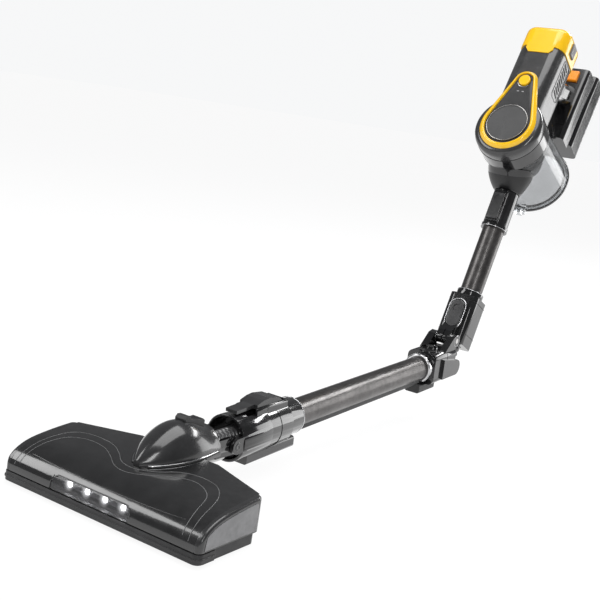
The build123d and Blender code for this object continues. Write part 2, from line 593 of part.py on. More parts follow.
with BuildPart() as vent_grilles:
    for x0 in (20.2, -39.8):
        cheek(HAND, [(196.2, 44.2), (253.8, 44.2), (253.8, 65.8), (196.2, 65.8)], x0, x0 + 19.6)
    for i in range(8):
        d = 199.4 + i * 6.6
        cheek(HAND, [(d, 47.5), (d + 3.6, 47.5), (d + 6.6, 62.5), (d + 3.0, 62.5)], -45, 45,
              mode=Mode.SUBTRACT)
    shell(190, -0.4, 70, mode=Mode.INTERSECT)
    rod(along(HAND, 190, BARREL_T), HOUSING_R - 2.5, 70, mode=Mode.SUBTRACT)
save(vent_grilles, "vent_grilles")

with BuildPart() as trim_ring:
    teardrop(TOP_T, 39.0, 16.4, 4.0, taper=28)
    teardrop(TOP_T - 1, 33.1, 12.1, 8, mode=Mode.SUBTRACT)
save(trim_ring, "trim_ring")

with BuildPart() as top_panel:
    teardrop(TOP_T, 33.0, 12.0, 2.6)
    rod(above(HAND, TOP_T - 1, 194), 8.9, 6, mode=Mode.SUBTRACT)
save(top_panel, "top_panel")

with BuildPart() as round_plate:
    rod(above(HAND, TOP_T + 2.6, 121), 30.0, 2.0)
    rod(above(HAND, TOP_T + 4.1, 121), 28.7, 1, mode=Mode.SUBTRACT)
save(round_plate, "round_plate")

with BuildPart() as power_button:
    rod(above(HAND, TOP_T + 0.2, 194), 8.6, 6.0)
    fillet(power_button.edges().sort_by(Axis((0, 0, 0), HAND.y_dir))[-1], radius=1.2)
save(power_button, "power_button")

with BuildPart() as circuit_board:
    bar(above(HAND, 81, 112), 46, 56, 1.6)
    for x0, y0, w0 in ((-12, -12, 12), (10, -14, 9), (-10, 12, 8), (12, 12, 14)):
        bar(above(HAND, 82.6, 112), w0, 8, 2.4, at=(x0, y0))
save(circuit_board, "circuit_board")

with BuildPart() as vacuum_motor:
    rod(along(HAND, 185, BARREL_T), 27, 44)
    rod(along(HAND, 189, BARREL_T), HOUSING_R - 2.5, 5)
    rod(along(HAND, 219, BARREL_T), HOUSING_R - 2.5, 5)
    for i in range(6):
        spot = Plane(HAND.from_local_coords((0, BARREL_T, 0)), x_dir=(-1, 0, 0), z_dir=HAND.x_dir)
        rod(spot.offset(227.5), 5, 2, mode=Mode.SUBTRACT,
            at=(16 * cos(radians(60 * i)), 16 * sin(radians(60 * i))))
    rod(along(HAND, 184, BARREL_T), 3 + FIT, 30, mode=Mode.SUBTRACT)
save(vacuum_motor, "vacuum_motor")

with BuildPart() as impeller:
    rod(along(HAND, 181.5, BARREL_T), 25.5, 2)
    rod(along(HAND, 177, BARREL_T), 3, 36)
    with BuildSketch(along(HAND, 173, BARREL_T)) as blades:
        with PolarLocations(15, 9):
            Rectangle(18, 1.4, rotation=24)
        Circle(7)
    extrude(blades.sketch, amount=8.5)
save(impeller, "impeller")

with BuildPart() as filter_cap:
    shell(BARREL_END + 0.2, 1.4, 35.8)
    fillet(filter_cap.faces().sort_by(Axis((0, 0, 0), HAND.x_dir))[-1].edges(), radius=9)
    # tab that reaches forward over the top of the barrel
    top = BARREL_T + HOUSING_R + 1.4
    with BuildSketch(above(HAND, top - 8)) as tab:
        with BuildLine():
            Polyline((-21, 262), (21, 262), (21, 253), (16, 247), (-16, 247), (-21, 253), close=True)
        make_face()
    extrude(tab.sketch, amount=8)
    shell(240, 0.04, BARREL_END - 239.8, mode=Mode.SUBTRACT)
    rod(along(HAND, 240, BARREL_T), HOUSING_R - 2.0, 50.5, mode=Mode.SUBTRACT)
    for x0 in (24, -44):
        cheek(HAND, [(266, 51), (286, 51), (286, 67), (266, 67)], x0, x0 + 20, mode=Mode.SUBTRACT)
save(filter_cap, "filter_cap")

with BuildPart() as hepa_filter:
    rod(along(HAND, 236, BARREL_T), 27, 54.5)
    rod(along(HAND, 262, BARREL_T), HOUSING_R - 2.0, 2)
    rod(along(HAND, 235, BARREL_T), 17, 50, mode=Mode.SUBTRACT)
    for i in range(30):
        with BuildSketch(along(HAND, 235, BARREL_T)) as fold:
            with PolarLocations(26.6, 1, start_angle=12 * i):
                Rectangle(5, 1.6)
        extrude(fold.sketch, amount=26, mode=Mode.SUBTRACT)
save(hepa_filter, "hepa_filter")

for side, sx in (("left", -1), ("right", 1)):
    with BuildPart() as cap_latch:
        lo, hi = (33.6, 38.0) if sx > 0 else (-38.0, -33.6)
        cheek(HAND, [(266.5, 51.5), (285.5, 51.5), (285.5, 66.5), (266.5, 66.5)], lo, hi)
        outer = cap_latch.faces().sort_by(Axis.X)[-1 if sx > 0 else 0]
        fillet(outer.edges(), radius=1.2)
    save(cap_latch, f"cap_latch_{side}")

with BuildPart() as pre_filter:
    rod(cup_axis(51.2), 46.2, 14)
    for i in range(5):
        rod(cup_axis(62), 34 - i * 7, 4, mode=Mode.SUBTRACT)
        rod(cup_axis(62), 31 - i * 7, 3.2)
save(pre_filter, "pre_filter")

with BuildPart() as cyclone_cone:
    rod(cup_axis(50.6), 39.7, -3.2)
    rod(cup_axis(47.4), 31, -32)
    with BuildSketch(cup_axis(15.4)):
        Circle(38)
    with BuildSketch(cup_axis(-22)):
        Circle(22)
    loft()
    rod(cup_axis(51), 28.5, -34, mode=Mode.SUBTRACT)
    with BuildSketch(cup_axis(17)):
        Circle(28.5)
    with BuildSketch(cup_axis(-23)):
        Circle(18)
    loft(mode=Mode.SUBTRACT)
    for i in range(12):
        turn = radians(30 * i)
        spot = Plane(HAND.from_local_coords((CUP_D, 32, 0)), x_dir=HAND.y_dir,
                     z_dir=(HAND.x_dir * cos(turn) + HAND.z_dir * sin(turn)))
        bar(spot.offset(20), 22, 7, 20, mode=Mode.SUBTRACT)
save(cyclone_cone, "cyclone_cone")

# ---------------------------------------------------------------- dust cup and its door
with BuildPart() as dust_cup:
    flare(CUP_T0, BAND_T0 - GAP, 0)
    cheek(HAND, [(HINGE_D, CUP_T0 + 12), (HINGE_D + 14, CUP_T0 + 16), (HINGE_D + 14, CUP_T0),
                 (HINGE_D, CUP_T0)], -12, 12)
    cheek(HAND, None, -12, 12, disc=(HINGE_D, HINGE_T, 4))
    cheek(HAND, None, -5.3, 5.3, mode=Mode.SUBTRACT, disc=(HINGE_D, HINGE_T, 5.6))
    flare(CUP_T0 - 1, BAND_T0 + 1, -2.2, mode=Mode.SUBTRACT)
    # inlet port facing the hopper, and ears that carry the door latch
    bar(along(HAND, 60, 17), 38, 34, 30, mode=Mode.SUBTRACT, corner=8)
    cheek(HAND, [(LATCH_D - 12, -38), (LATCH_D + 2.4, -41), (LATCH_D + 2.4, -51),
                 (LATCH_D - 12, -54)], 7, 9.5, mirrored=True)
    flare(CUP_T0 - 1, BAND_T0 + 1, -2.2, mode=Mode.SUBTRACT)
    cheek(HAND, None, -12, 12, mode=Mode.SUBTRACT, disc=(LATCH_D, LATCH_T, 1.2 + FIT))
    # hinge pin of the door
    rod(HAND.offset(-12), 1.6, 24, at=(HINGE_D, HINGE_T))
save(dust_cup, "dust_cup")

with BuildPart() as door_latch:
    side = ((-1.4, -38), (0.6, -37.4), (2.2, -38.6), (2.2, -64.5), (0.8, -66.6), (-4.3, -66.6),
            (-3.7, -65.0), (-1.4, -64.6))
    cheek(HAND, [(LATCH_D + d, t) for d, t in side], -6.5, 6.5)
    rod(HAND.offset(-9.4), 1.2, 18.8, at=(LATCH_D, LATCH_T))
save(door_latch, "door_latch")

with BuildPart() as cup_door:
    rod(cup_axis(CUP_T0 - GAP), CUP_FOOT + 1.5, -6)
    rod(cup_axis(CUP_T0), CUP_FOOT - 5, -3, mode=Mode.SUBTRACT)
    fillet(cup_door.faces().sort_by(Axis((0, 0, 0), HAND.y_dir))[0].edges(), radius=2.5)
    lug = ((-3, -5), (10, -5), (10, -1), (3, -1), (1, 4), (-3, 4))
    cheek(HAND, [(HINGE_D + d, CUP_T0 + t) for d, t in lug], -5, 5)
    cheek(HAND, None, -5, 5, disc=(HINGE_D, HINGE_T, 4))
    cheek(HAND, None, -6, 6, mode=Mode.SUBTRACT, disc=(HINGE_D, HINGE_T, 1.6 + FIT))
save(cup_door, "cup_door")

with BuildPart() as door_seal:
    rod(cup_axis(CUP_T0 - GAP), CUP_FOOT - 5, -1.6)
    rod(cup_axis(CUP_T0), CUP_FOOT - 8, -4, mode=Mode.SUBTRACT)
save(door_seal, "door_seal")

# ---------------------------------------------------------------- grip, trigger and battery
def on_grip(u, v):
    """Side-view point u down the grip's front edge and v in from it."""
    return (214 + 0.447 * u + 0.894 * v, 20 - 0.894 * u + 0.447 * v)


with BuildPart() as grip:
    cheek(HAND, [(207, 34), (246, DOCK_T1), (284, DOCK_T1), (246, 34)], -16, 16)
    fillet(grip.edges().filter_by(lambda e: 60 < e.length < 95), radius=10)
    shell(150, 0.02, 140, mode=Mode.SUBTRACT)
    # pocket for the trigger
    cheek(HAND, [on_grip(0, -9), on_grip(38, -9), on_grip(38, 11.5), on_grip(0, 11.5)],
          -7.8, 7.8, mode=Mode.SUBTRACT)
save(grip, "grip")

with BuildPart() as trigger:
    blade = [on_grip(u, v) for u, v in ((0.8, -3.2), (8, -5.8), (20, -4.6), (31, -7.2),
                                        (36.6, -5.6), (37.2, 7.2), (0.8, 7.2))]
    cheek(HAND, blade, -7.4, 7.4)
save(trigger, "trigger")

with BuildPart() as battery_dock:
    bar(along(HAND, DOCK_D, (DOCK_T0 + DOCK_T1) / 2), 54, DOCK_T1 - DOCK_T0, 318 - DOCK_D,
        corner=7)
    bar(along(HAND, PACK_D - 1, DOCK_T0 + 4), 24, 8.6, 140, mode=Mode.SUBTRACT)
    bar(along(HAND, PACK_D - 1, DOCK_T0 + 6), 30, 4.6, 140, mode=Mode.SUBTRACT)
    bar(above(HAND, DOCK_T1 - 5, 302), 26.6, 18.6, 8, mode=Mode.SUBTRACT)
    bar(along(HAND, DOCK_D + 8, (DOCK_T0 + DOCK_T1) / 2 + 5), 40, 14, 88, mode=Mode.SUBTRACT)
save(battery_dock, "battery_dock")

with BuildPart() as battery_release:
    bar(above(HAND, DOCK_T1 - 2.6, 302), 26, 18, 7.6)
    fillet(battery_release.faces().sort_by(Axis((0, 0, 0), HAND.y_dir))[-1].edges(), radius=2)
save(battery_release, "battery_release")

with BuildPart() as battery_pack:
    bar(along(HAND, PACK_D, DOCK_T0 - GAP - 21), 58, 42, 330 - PACK_D, corner=8)
    bar(along(HAND, PACK_D + 2.5, DOCK_T0 - GAP - 21), 53, 38, 322.5 - PACK_D,
        mode=Mode.SUBTRACT, corner=6)
    bar(along(HAND, PACK_D, DOCK_T0 + 3.7), 23.4, 8.0, 316 - PACK_D)
    bar(along(HAND, PACK_D, DOCK_T0 + 6), 29.4, 4.0, 316 - PACK_D)
    # charging socket in the rear end
    rod(along(HAND, 318, -99.3), 5.4, 10)
    rod(along(HAND, 320.5, -99.3), 2.8, 12, mode=Mode.SUBTRACT)
save(battery_pack, "battery_pack")

with BuildPart() as battery_cells:
    for x0 in (-15, 15):
        for t0 in (-89.7, -108.9):
            for d0 in (PACK_D + 4, PACK_D + 64):
                rod(along(HAND, d0, t0), 9.2, 59, at=(x0, 0))
    bar(along(HAND, PACK_D + 2.8, -99.3), 44, 34, 1.3)
    bar(along(HAND, PACK_D + 62.5, -99.3), 44, 34, 2)
save(battery_cells, "battery_cells")
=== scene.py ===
"""Looks of the cordless stick vacuum: camera, studio, materials and fine pieces on the CAD frame.

Lengths in the helpers are millimetres and are turned into metres where points are made.
"""
import json
from math import acos, cos, hypot, pi, radians, sin

import bmesh
import bpy
from mathutils import Matrix, Vector
from mathutils.bvhtree import BVHTree


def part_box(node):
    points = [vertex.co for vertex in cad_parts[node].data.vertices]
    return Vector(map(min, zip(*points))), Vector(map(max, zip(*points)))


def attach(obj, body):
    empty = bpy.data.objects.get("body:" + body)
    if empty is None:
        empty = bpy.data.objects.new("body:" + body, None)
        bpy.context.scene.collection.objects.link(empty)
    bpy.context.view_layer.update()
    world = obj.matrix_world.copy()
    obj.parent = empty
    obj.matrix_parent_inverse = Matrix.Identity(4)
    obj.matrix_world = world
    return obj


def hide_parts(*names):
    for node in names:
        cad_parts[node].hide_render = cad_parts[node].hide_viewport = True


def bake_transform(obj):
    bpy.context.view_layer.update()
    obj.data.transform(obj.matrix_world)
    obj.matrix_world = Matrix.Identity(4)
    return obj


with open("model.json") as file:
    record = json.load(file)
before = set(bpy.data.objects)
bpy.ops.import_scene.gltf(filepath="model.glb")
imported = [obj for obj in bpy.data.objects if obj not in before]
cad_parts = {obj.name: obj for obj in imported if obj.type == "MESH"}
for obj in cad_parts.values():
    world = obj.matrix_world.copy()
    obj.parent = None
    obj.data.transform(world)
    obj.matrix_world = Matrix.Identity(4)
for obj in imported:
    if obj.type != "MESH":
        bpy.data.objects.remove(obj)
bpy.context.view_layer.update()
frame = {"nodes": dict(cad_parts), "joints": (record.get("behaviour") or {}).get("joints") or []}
scene = bpy.context.scene
nodes = frame["nodes"]
joints = {j["name"]: j for j in frame["joints"]}
MM = 0.001
GRAIN_DEPTH = 0.0002            # metres of relief in the surface grain

# ---------------------------------------------------------------- camera
AZIMUTH, ELEVATION, ROLL = radians(32.97), radians(10.18), radians(8.48)
forward = Vector((-sin(AZIMUTH) * cos(ELEVATION), cos(AZIMUTH) * cos(ELEVATION), -sin(ELEVATION)))
level = Vector((cos(AZIMUTH), sin(AZIMUTH), 0))
overhead = level.cross(forward)
cam_x = cos(ROLL) * level + sin(ROLL) * overhead
cam_y = cos(ROLL) * overhead - sin(ROLL) * level
camera = bpy.data.objects.new("camera", bpy.data.cameras.new("camera"))
camera.data.lens = 64.9
camera.data.sensor_width = 36.0
facing = Matrix((cam_x, cam_y, -forward)).transposed().to_4x4()
camera.matrix_world = Matrix.Translation((0.6434, -0.7608, 0.4034)) @ facing
scene.collection.objects.link(camera)
scene.camera = camera
scene.view_settings.view_transform = "Standard"


# ---------------------------------------------------------------- places on the object
class Place:
    """A local frame in the mid plane: d along a piece, h up from it, x to the right, in mm."""

    def __init__(self, origin, ahead):
        self.origin, self.ahead = Vector(origin), Vector(ahead).normalized()
        self.side = Vector((1, 0, 0))
        self.rise = self.side.cross(self.ahead)

    def __call__(self, d, h=0.0, x=0.0):
        return self.origin + MM * (d * self.ahead + h * self.rise + x * self.side)


def joint_axis(name):
    return Vector(joints[name]["axis"])


LOW = Place(joints["wand_pitch"]["pos_m"], -joint_axis("connector_pull"))
knee = Vector(joints["knee_fold"]["pos_m"])
UP = Place(knee, -joint_axis("wand_pull"))
UP.origin = UP(82.6, -32)
HAND = Place(UP(104.5), joint_axis("battery_slide"))
CUP = 120.0                      # dust cup's axis along the hand unit
BARREL = 58.0                    # motor barrel's axis above the hand unit's origin
BARREL_WIDTH = 67.9              # just inside the flat sides of the barrel
RING_D, BUTTON_D = 121.0, 194.0  # centres of the round plate and of the power button


# ---------------------------------------------------------------- materials
class Nodes:
    """Short calls for building a shader."""

    def __init__(self, name):
        self.mat = bpy.data.materials.new(name)
        self.mat.use_nodes = True
        self.tree = self.mat.node_tree
        self.shader = self.tree.nodes["Principled BSDF"]
        self.place = self.tree.nodes.new("ShaderNodeTexCoord").outputs["Object"]

    def add(self, kind, **values):
        node = self.tree.nodes.new("ShaderNode" + kind)
        for key, value in values.items():
            if hasattr(node, key):
                setattr(node, key, value)
            else:
                node.inputs[key.replace("_", " ")].default_value = value
        return node

    def link(self, a, b):
        self.tree.links.new(a, b)
        return b

    def noise(self, scale, detail=3.0, stretch=None):
        n = self.add("TexNoise", Scale=scale, Detail=detail, Roughness=0.6)
        source = self.place
        if stretch:
            m = self.add("Mapping")
            m.inputs["Scale"].default_value = stretch[:3]
            m.inputs["Rotation"].default_value = stretch[3:] or (0, 0, 0)
            self.link(source, m.inputs["Vector"])
            source = m.outputs["Vector"]
        self.link(source, n.inputs["Vector"])
        return n.outputs["Fac"]

    def span(self, value, lo, hi, frm=0.3, to=0.7):
        m = self.add("MapRange")
        for i, v in zip((1, 2, 3, 4), (frm, to, lo, hi)):
            m.inputs[i].default_value = v
        self.link(value, m.inputs[0])
        return m.outputs[0]

    def mix(self, factor, a, b):
        m = self.add("Mix", data_type="RGBA")
        self.link(factor, m.inputs[0])
        for socket, colour in ((m.inputs[6], a), (m.inputs[7], b)):
            if hasattr(colour, "links"):
                self.link(colour, socket)
            else:
                socket.default_value = (*colour, 1)
        return m.outputs[2]

    def relief(self, height, strength):
        """Fine bumps over the whole surface."""
        lump = self.add("Bump", Strength=strength, Distance=GRAIN_DEPTH)
        self.link(height, lump.inputs["Height"])
        self.link(lump.outputs["Normal"], self.shader.inputs["Normal"])


def finish(name, colour, rough, spread=0.06, tint=0.25, grain=900.0, bump=0.04, coat=0.0,
           metal=0.0, wear=0.25, brushed=None):
    """Moulded or metal finish: tinted colour, uneven roughness, fine grain and rubbed edges."""
    n = Nodes(name)
    s = n.shader
    darker = [c * (1 - tint) for c in colour]
    lighter = [min(1, c * (1 + tint) + 0.004) for c in colour]
    base = n.mix(n.span(n.noise(38, 5), 0, 1), darker, lighter)
    if wear:
        edge = n.add("NewGeometry").outputs["Pointiness"]
        rubbed = n.add("Math", operation="MULTIPLY")
        n.link(n.span(edge, 0, wear, 0.52, 0.62), rubbed.inputs[0])
        n.link(n.span(n.noise(160, 6), 0, 1, 0.35, 0.65), rubbed.inputs[1])
        base = n.mix(rubbed.outputs[0], base, [min(1, 0.12 + c * 1.3) for c in colour])
    n.link(base, s.inputs["Base Color"])
    haze = n.noise(24, 6)
    scuffs = n.noise(420, 2, (1, 14, 1))
    blend = n.add("Math", operation="MULTIPLY_ADD")
    n.link(scuffs, blend.inputs[0])
    blend.inputs[1].default_value = 0.35
    n.link(haze, blend.inputs[2])
    n.link(n.span(blend.outputs[0], rough - spread / 2, rough + spread, 0.45, 0.85),
           s.inputs["Roughness"])
    n.relief(n.noise(grain, 2, brushed), bump)
    s.inputs["Metallic"].default_value = metal
    s.inputs["Coat Weight"].default_value = coat
    s.inputs["Coat Roughness"].default_value = 0.04
    return n.mat


def glow(name, colour, strength):
    """Lit lens, slightly uneven in brightness."""
    n = Nodes(name)
    s = n.shader
    flecks = n.span(n.noise(700, 3), 0.75, 1.15)
    power = n.add("Math", operation="MULTIPLY")
    n.link(flecks, power.inputs[0])
    power.inputs[1].default_value = strength
    s.inputs["Base Color"].default_value = (*colour, 1)
    s.inputs["Emission Color"].default_value = (*colour, 1)
    n.link(power.outputs[0], s.inputs["Emission Strength"])
    n.link(n.span(n.noise(90, 3), 0.2, 0.4), s.inputs["Roughness"])
    return n.mat


def clear(name, colour, rough, weight):
    """See-through moulding with faint haze and scratches."""
    n = Nodes(name)
    s = n.shader
    n.link(n.mix(n.span(n.noise(30, 5), 0, 1), colour, [c * 0.9 for c in colour]),
           s.inputs["Base Color"])
    s.inputs["Transmission Weight"].default_value = weight
    s.inputs["IOR"].default_value = 1.1
    s.inputs["Coat Weight"].default_value = 0.5
    n.link(n.span(n.noise(200, 5, (1, 9, 1)), rough, rough + 0.06), s.inputs["Roughness"])
    n.relief(n.noise(120, 3), 0.03)
    return n.mat


def halo(name, radius, strength):
    """Light scattered round a lamp: bright at the middle of a disc, gone at its rim."""
    n = Nodes(name)
    spread = n.add("Mapping")
    spread.inputs["Scale"].default_value = (1 / radius,) * 3
    n.link(n.place, spread.inputs["Vector"])
    ball = n.add("TexGradient", gradient_type="SPHERICAL")
    n.link(spread.outputs["Vector"], ball.inputs["Vector"])
    fall = n.add("Math", operation="POWER")
    n.link(ball.outputs["Fac"], fall.inputs[0])
    fall.inputs[1].default_value = 1.8
    n.shader.inputs["Base Color"].default_value = (1, 1, 1, 1)
    n.shader.inputs["Emission Color"].default_value = (1, 1, 1, 1)
    n.shader.inputs["Emission Strength"].default_value = strength
    n.link(fall.outputs[0], n.shader.inputs["Alpha"])
    return n.mat


GLOSS = finish("gloss_black_abs", (0.005, 0.005, 0.0055), 0.1, coat=0.6, spread=0.05, wear=0.1)
HOPPER = finish("hopper_black_abs", (0.007, 0.007, 0.0075), 0.36, spread=0.06, wear=0.1)
COVER = finish("cover_black_abs", (0.011, 0.011, 0.0115), 0.16, coat=0.7, spread=0.06, wear=0.1)
DARK = finish("dark_grey_abs", (0.026, 0.026, 0.027), 0.18, coat=0.4, spread=0.07, wear=0.12)
SHELL = finish("housing_grey_abs", (0.03, 0.03, 0.031), 0.22, coat=0.5, spread=0.07, wear=0.12)
PANEL = finish("panel_grey_abs", (0.024, 0.024, 0.025), 0.3, coat=0.2, spread=0.08, wear=0.1)
MID = finish("mid_grey_abs", (0.16, 0.16, 0.165), 0.28, coat=0.2, spread=0.08)
PALE = finish("pale_grey_abs", (0.4, 0.4, 0.41), 0.3, coat=0.2, spread=0.08)
SATIN = finish("satin_black_abs", (0.014, 0.014, 0.015), 0.42, grain=1400, bump=0.22, spread=0.12)
# near-black beads laid in seams, gaps, grooves and slots: painted shade where these recesses are in
# shadow
SEAM_SHADE = finish("seam_shadow", (0.003, 0.003, 0.003), 0.6, wear=0, spread=0.1)
SOFT = finish("soft_bumper", (0.016, 0.016, 0.017), 0.42, grain=1800, bump=0.25, spread=0.12)
YELLOW = finish("yellow_abs", (0.98, 0.56, 0.004), 0.2, tint=0.035, coat=0.5, wear=0.12)
ORANGE = finish("orange_abs", (0.95, 0.30, 0.006), 0.24, tint=0.05, coat=0.4, wear=0.12)
PLATE = finish("plate_spun", (0.06, 0.06, 0.061), 0.46, grain=2400, bump=0.2, tint=0.08, wear=0)
TUBE = finish("tube_metal", (0.085, 0.08, 0.078), 0.34, metal=0.9, grain=2600, bump=0.1,
              brushed=(1, 0.03, 0.03), tint=0.12, spread=0.1, coat=0.15)
STEEL = finish("steel", (0.5, 0.49, 0.48), 0.24, metal=1.0, grain=2200, bump=0.08, wear=0.1)
# bright metal, also laid as thin beads on rims and edges as painted highlights
CHROME_AND_HIGHLIGHT = finish("bright_ring", (0.62, 0.62, 0.63), 0.15, metal=1.0, wear=0.1, bump=0.03)
BRISTLE = finish("bristle_nylon", (0.02, 0.02, 0.022), 0.5, wear=0, spread=0.15)
ROLL = finish("roll_moulding", (0.08, 0.08, 0.083), 0.38, grain=1500, bump=0.15)
TYRE = finish("tyre_rubber", (0.02, 0.02, 0.021), 0.68, grain=2200, bump=0.35, spread=0.1)
HOSE = finish("hose_rubber", (0.06, 0.06, 0.062), 0.22, grain=1600, bump=0.08, coat=0.5)
FILTER = finish("filter_fleece", (0.72, 0.72, 0.69), 0.9, grain=3000, bump=0.5, wear=0)
FOAM = finish("filter_foam", (0.3, 0.3, 0.32), 0.9, grain=1300, bump=0.8, wear=0)
BOARD = finish("board_green", (0.01, 0.13, 0.045), 0.4, grain=600, bump=0.2)
CELL = finish("cell_wrap", (0.02, 0.1, 0.22), 0.35, tint=0.1, coat=0.2)
SMOKED = clear("smoked_window", (0.32, 0.32, 0.33), 0.04, 0.85)
CUP_CLEAR = clear("clear_cup", (0.7, 0.71, 0.72), 0.02, 0.97)
LENS = glow("led_lens", (1.0, 1.0, 1.0), 16.0)
HALO = halo("lamp_halo", 0.0075, 1.6)

# which finish each CAD node wears
DRESS = {
    COVER: ("head_cover",),
    GLOSS: ("main_frame", "swivel_barrel", "knee_lower", "knee_upper", "upper_collar",
            "wand_connector", "wand_coupler", "grip", "battery_dock", "battery_pack"),
    DARK: ("side_covers", "neck_dome", "connector_latch", "contact_box", "knee_release",
           "coupler_release"),
    SHELL: ("body_housing", "vent_grilles"),
    PANEL: ("top_panel",),
    MID: ("cap_latch_left", "cap_latch_right", "trigger"),
    SATIN: ("head_base", "park_clip", "cable_channel", "cyclone_cone", "door_seal", "door_latch"),
    SOFT: ("bumper",),
    YELLOW: ("trim_ring", "power_button", "filter_cap"),
    ORANGE: ("battery_release",),
    PLATE: ("round_plate",),
    TUBE: ("lower_tube", "upper_tube"),
    STEEL: ("brush_motor", "motor_pulley", "wheel_axles", "pivot_pins", "hinge_pin",
            "vacuum_motor", "impeller"),
    CHROME_AND_HIGHLIGHT: ("lower_collar",),
    BRISTLE: ("brush_bristles",),
    ROLL: ("brush_roll",),
    TYRE: ("rear_wheel_left", "rear_wheel_right", "drive_belt"),
    HOSE: ("neck_hose", "knee_hose"),
    FILTER: ("hepa_filter",),
    FOAM: ("pre_filter",),
    BOARD: ("circuit_board",),
    CELL: ("battery_cells",),
    SMOKED: ("led_window",),
    CUP_CLEAR: ("dust_cup", "cup_door"),
    PALE: ("led_lights",),
}
# width in mm of the rounding on a CAD node's edges
SOFT_EDGE = {"neck_dome": 0.5, "bumper": 0.5, "head_base": 0.5, "grip": 1.5, "battery_pack": 1.2,
             "battery_dock": 1.2, "connector_latch": 1.2, "contact_box": 1.0, "trigger": 2.0,
             "knee_lower": 0.7, "knee_upper": 0.7, "swivel_barrel": 0.7, "body_housing": 0.6,
             "filter_cap": 0.7, "wand_connector": 0.7, "wand_coupler": 0.6,
             "side_covers": 0.4, "battery_release": 0.6, "coupler_release": 0.7,
             "top_panel": 0.5, "trim_ring": 0.7, "round_plate": 0.3, "park_clip": 0.5,
             "upper_collar": 0.8, "lower_collar": 0.6, "cable_channel": 0.5,
             "cap_latch_left": 0.4, "cap_latch_right": 0.4, "vent_grilles": 0.3,
             "door_latch": 0.5, "cyclone_cone": 0.4, "brush_motor": 0.6}


def round_edges(obj, width):
    """Round an object's sharp edges by a width in mm."""
    edge = obj.modifiers.new("edge", "BEVEL")
    edge.width = width * MM
    edge.segments = 3
    edge.limit_method = "ANGLE"
    edge.angle_limit = radians(32)
    edge.harden_normals = True


for material, members in DRESS.items():
    for name in members:
        node = nodes[name]
        node.data.materials.clear()
        node.data.materials.append(material)
        if name in SOFT_EDGE:
            weld = node.modifiers.new("weld", "WELD")
            weld.merge_threshold = 0.00001
            round_edges(node, SOFT_EDGE[name])


# ---------------------------------------------------------------- mesh helpers
def piece(name, verts, faces, material, body, smooth=True, bevel=0.0):
    """A mesh piece that rides on a body; bevel in mm rounds its sharp edges."""
    mesh = bpy.data.meshes.new(name)
    mesh.from_pydata([tuple(v) for v in verts], [], faces)
    work = bmesh.new()
    work.from_mesh(mesh)
    bmesh.ops.remove_doubles(work, verts=work.verts, dist=1e-7)
    bmesh.ops.recalc_face_normals(work, faces=work.faces)
    work.to_mesh(mesh)
    work.free()
    for p in mesh.polygons:
        p.use_smooth = smooth
    obj = bpy.data.objects.new(name, mesh)
    scene.collection.objects.link(obj)
    mesh.materials.append(material)
    if bevel:
        round_edges(obj, bevel)
    if body:
        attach(obj, body)
    return obj


def skin(rows, around, closed=False, capped=False):
    """Faces between rows of points that each go right round a section."""
    faces = []
    for i in range(rows if closed else rows - 1):
        j = (i + 1) % rows
        faces += [(i * around + m, i * around + (m + 1) % around,
                   j * around + (m + 1) % around, j * around + m) for m in range(around)]
    if capped:
        last = (rows - 1) * around
        faces += [tuple(range(around)), tuple(last + m for m in reversed(range(around)))]
    return faces


def lathe(name, place, at, profile, material, body, axis="ahead", turn=(0, 360), steps=72):
    """Closed profile of (distance along the axis, radius) spun about an axis through place(*at)."""
    ahead = getattr(place, axis)
    side = place.side
    other = ahead.cross(side)
    centre = place(*at)
    full = turn[1] - turn[0] >= 360
    count = steps if full else steps + 1
    verts = []
    for i in range(count):
        a = radians(turn[0] + (turn[1] - turn[0]) * i / steps)
        out = cos(a) * side + sin(a) * other
        verts += [centre + MM * (d * ahead + r * out) for d, r in profile]
    return piece(name, verts, skin(count, len(profile), closed=full, capped=not full), material,
                 body)


def loop(radius, middle=(0.0, 0.0), flat=1.0, count=10):
    """Small round section for rims: (distance, radius) pairs about a middle."""
    return [(middle[0] + flat * radius * cos(2 * pi * i / count),
             middle[1] + radius * sin(2 * pi * i / count)) for i in range(count)]


def strip(name, points, normals, width, height, material, body, closed=False):
    """A low rounded bead laid along points on a surface, following its normals."""
    section = [(-0.5, -0.3), (-0.5, 0.25), (-0.3, 0.8), (0, 1.0), (0.3, 0.8), (0.5, 0.25),
               (0.5, -0.3)]
    verts, n = [], len(points)
    for i, (p, up) in enumerate(zip(points, normals)):
        before = points[i - 1] if i or closed else points[i]
        after = points[(i + 1) % n] if i < n - 1 or closed else points[i]
        across = (after - before).cross(up).normalized()
        verts += [p + MM * (width * u * across + height * v * up) for u, v in section]
    faces = skin(n, len(section), closed=closed, capped=not closed)
    return piece(name, verts, faces, material, body)


def flat_strip(name, points, up, width, height, material, body, **choices):
    """A bead whose surface faces the same way all along."""
    return strip(name, points, [up] * len(points), width, height, material, body, **choices)


def band(name, points, middle, width, height, material, body):
    """A closed bead round a tube, facing away from the tube's middle."""
    normals = [(p - middle).normalized() for p in points]
    return strip(name, points, normals, width, height, material, body, closed=True)


def slab(name, outline, lift, thick, material, body, bevel=0.0):
    """A plate: outline points pushed out along lift by thick mm."""
    n = len(outline)
    verts = list(outline) + [p + MM * thick * lift for p in outline]
    faces = [tuple(range(n)), tuple(range(2 * n - 1, n - 1, -1))]
    faces += [(i, (i + 1) % n, n + (i + 1) % n, n + i) for i in range(n)]
    return piece(name, verts, faces, material, body, smooth=bool(bevel), bevel=bevel)


def rounded(w, h, r, steps=6):
    """Rounded rectangle outline about the origin."""
    out = []
    for cx, cy, a0 in ((w / 2 - r, h / 2 - r, 0), (r - w / 2, h / 2 - r, 90),
                       (r - w / 2, r - h / 2, 180), (w / 2 - r, r - h / 2, 270)):
        out += [(cx + r * cos(radians(a0 + 90 * i / steps)),
                 cy + r * sin(radians(a0 + 90 * i / steps))) for i in range(steps + 1)]
    return out


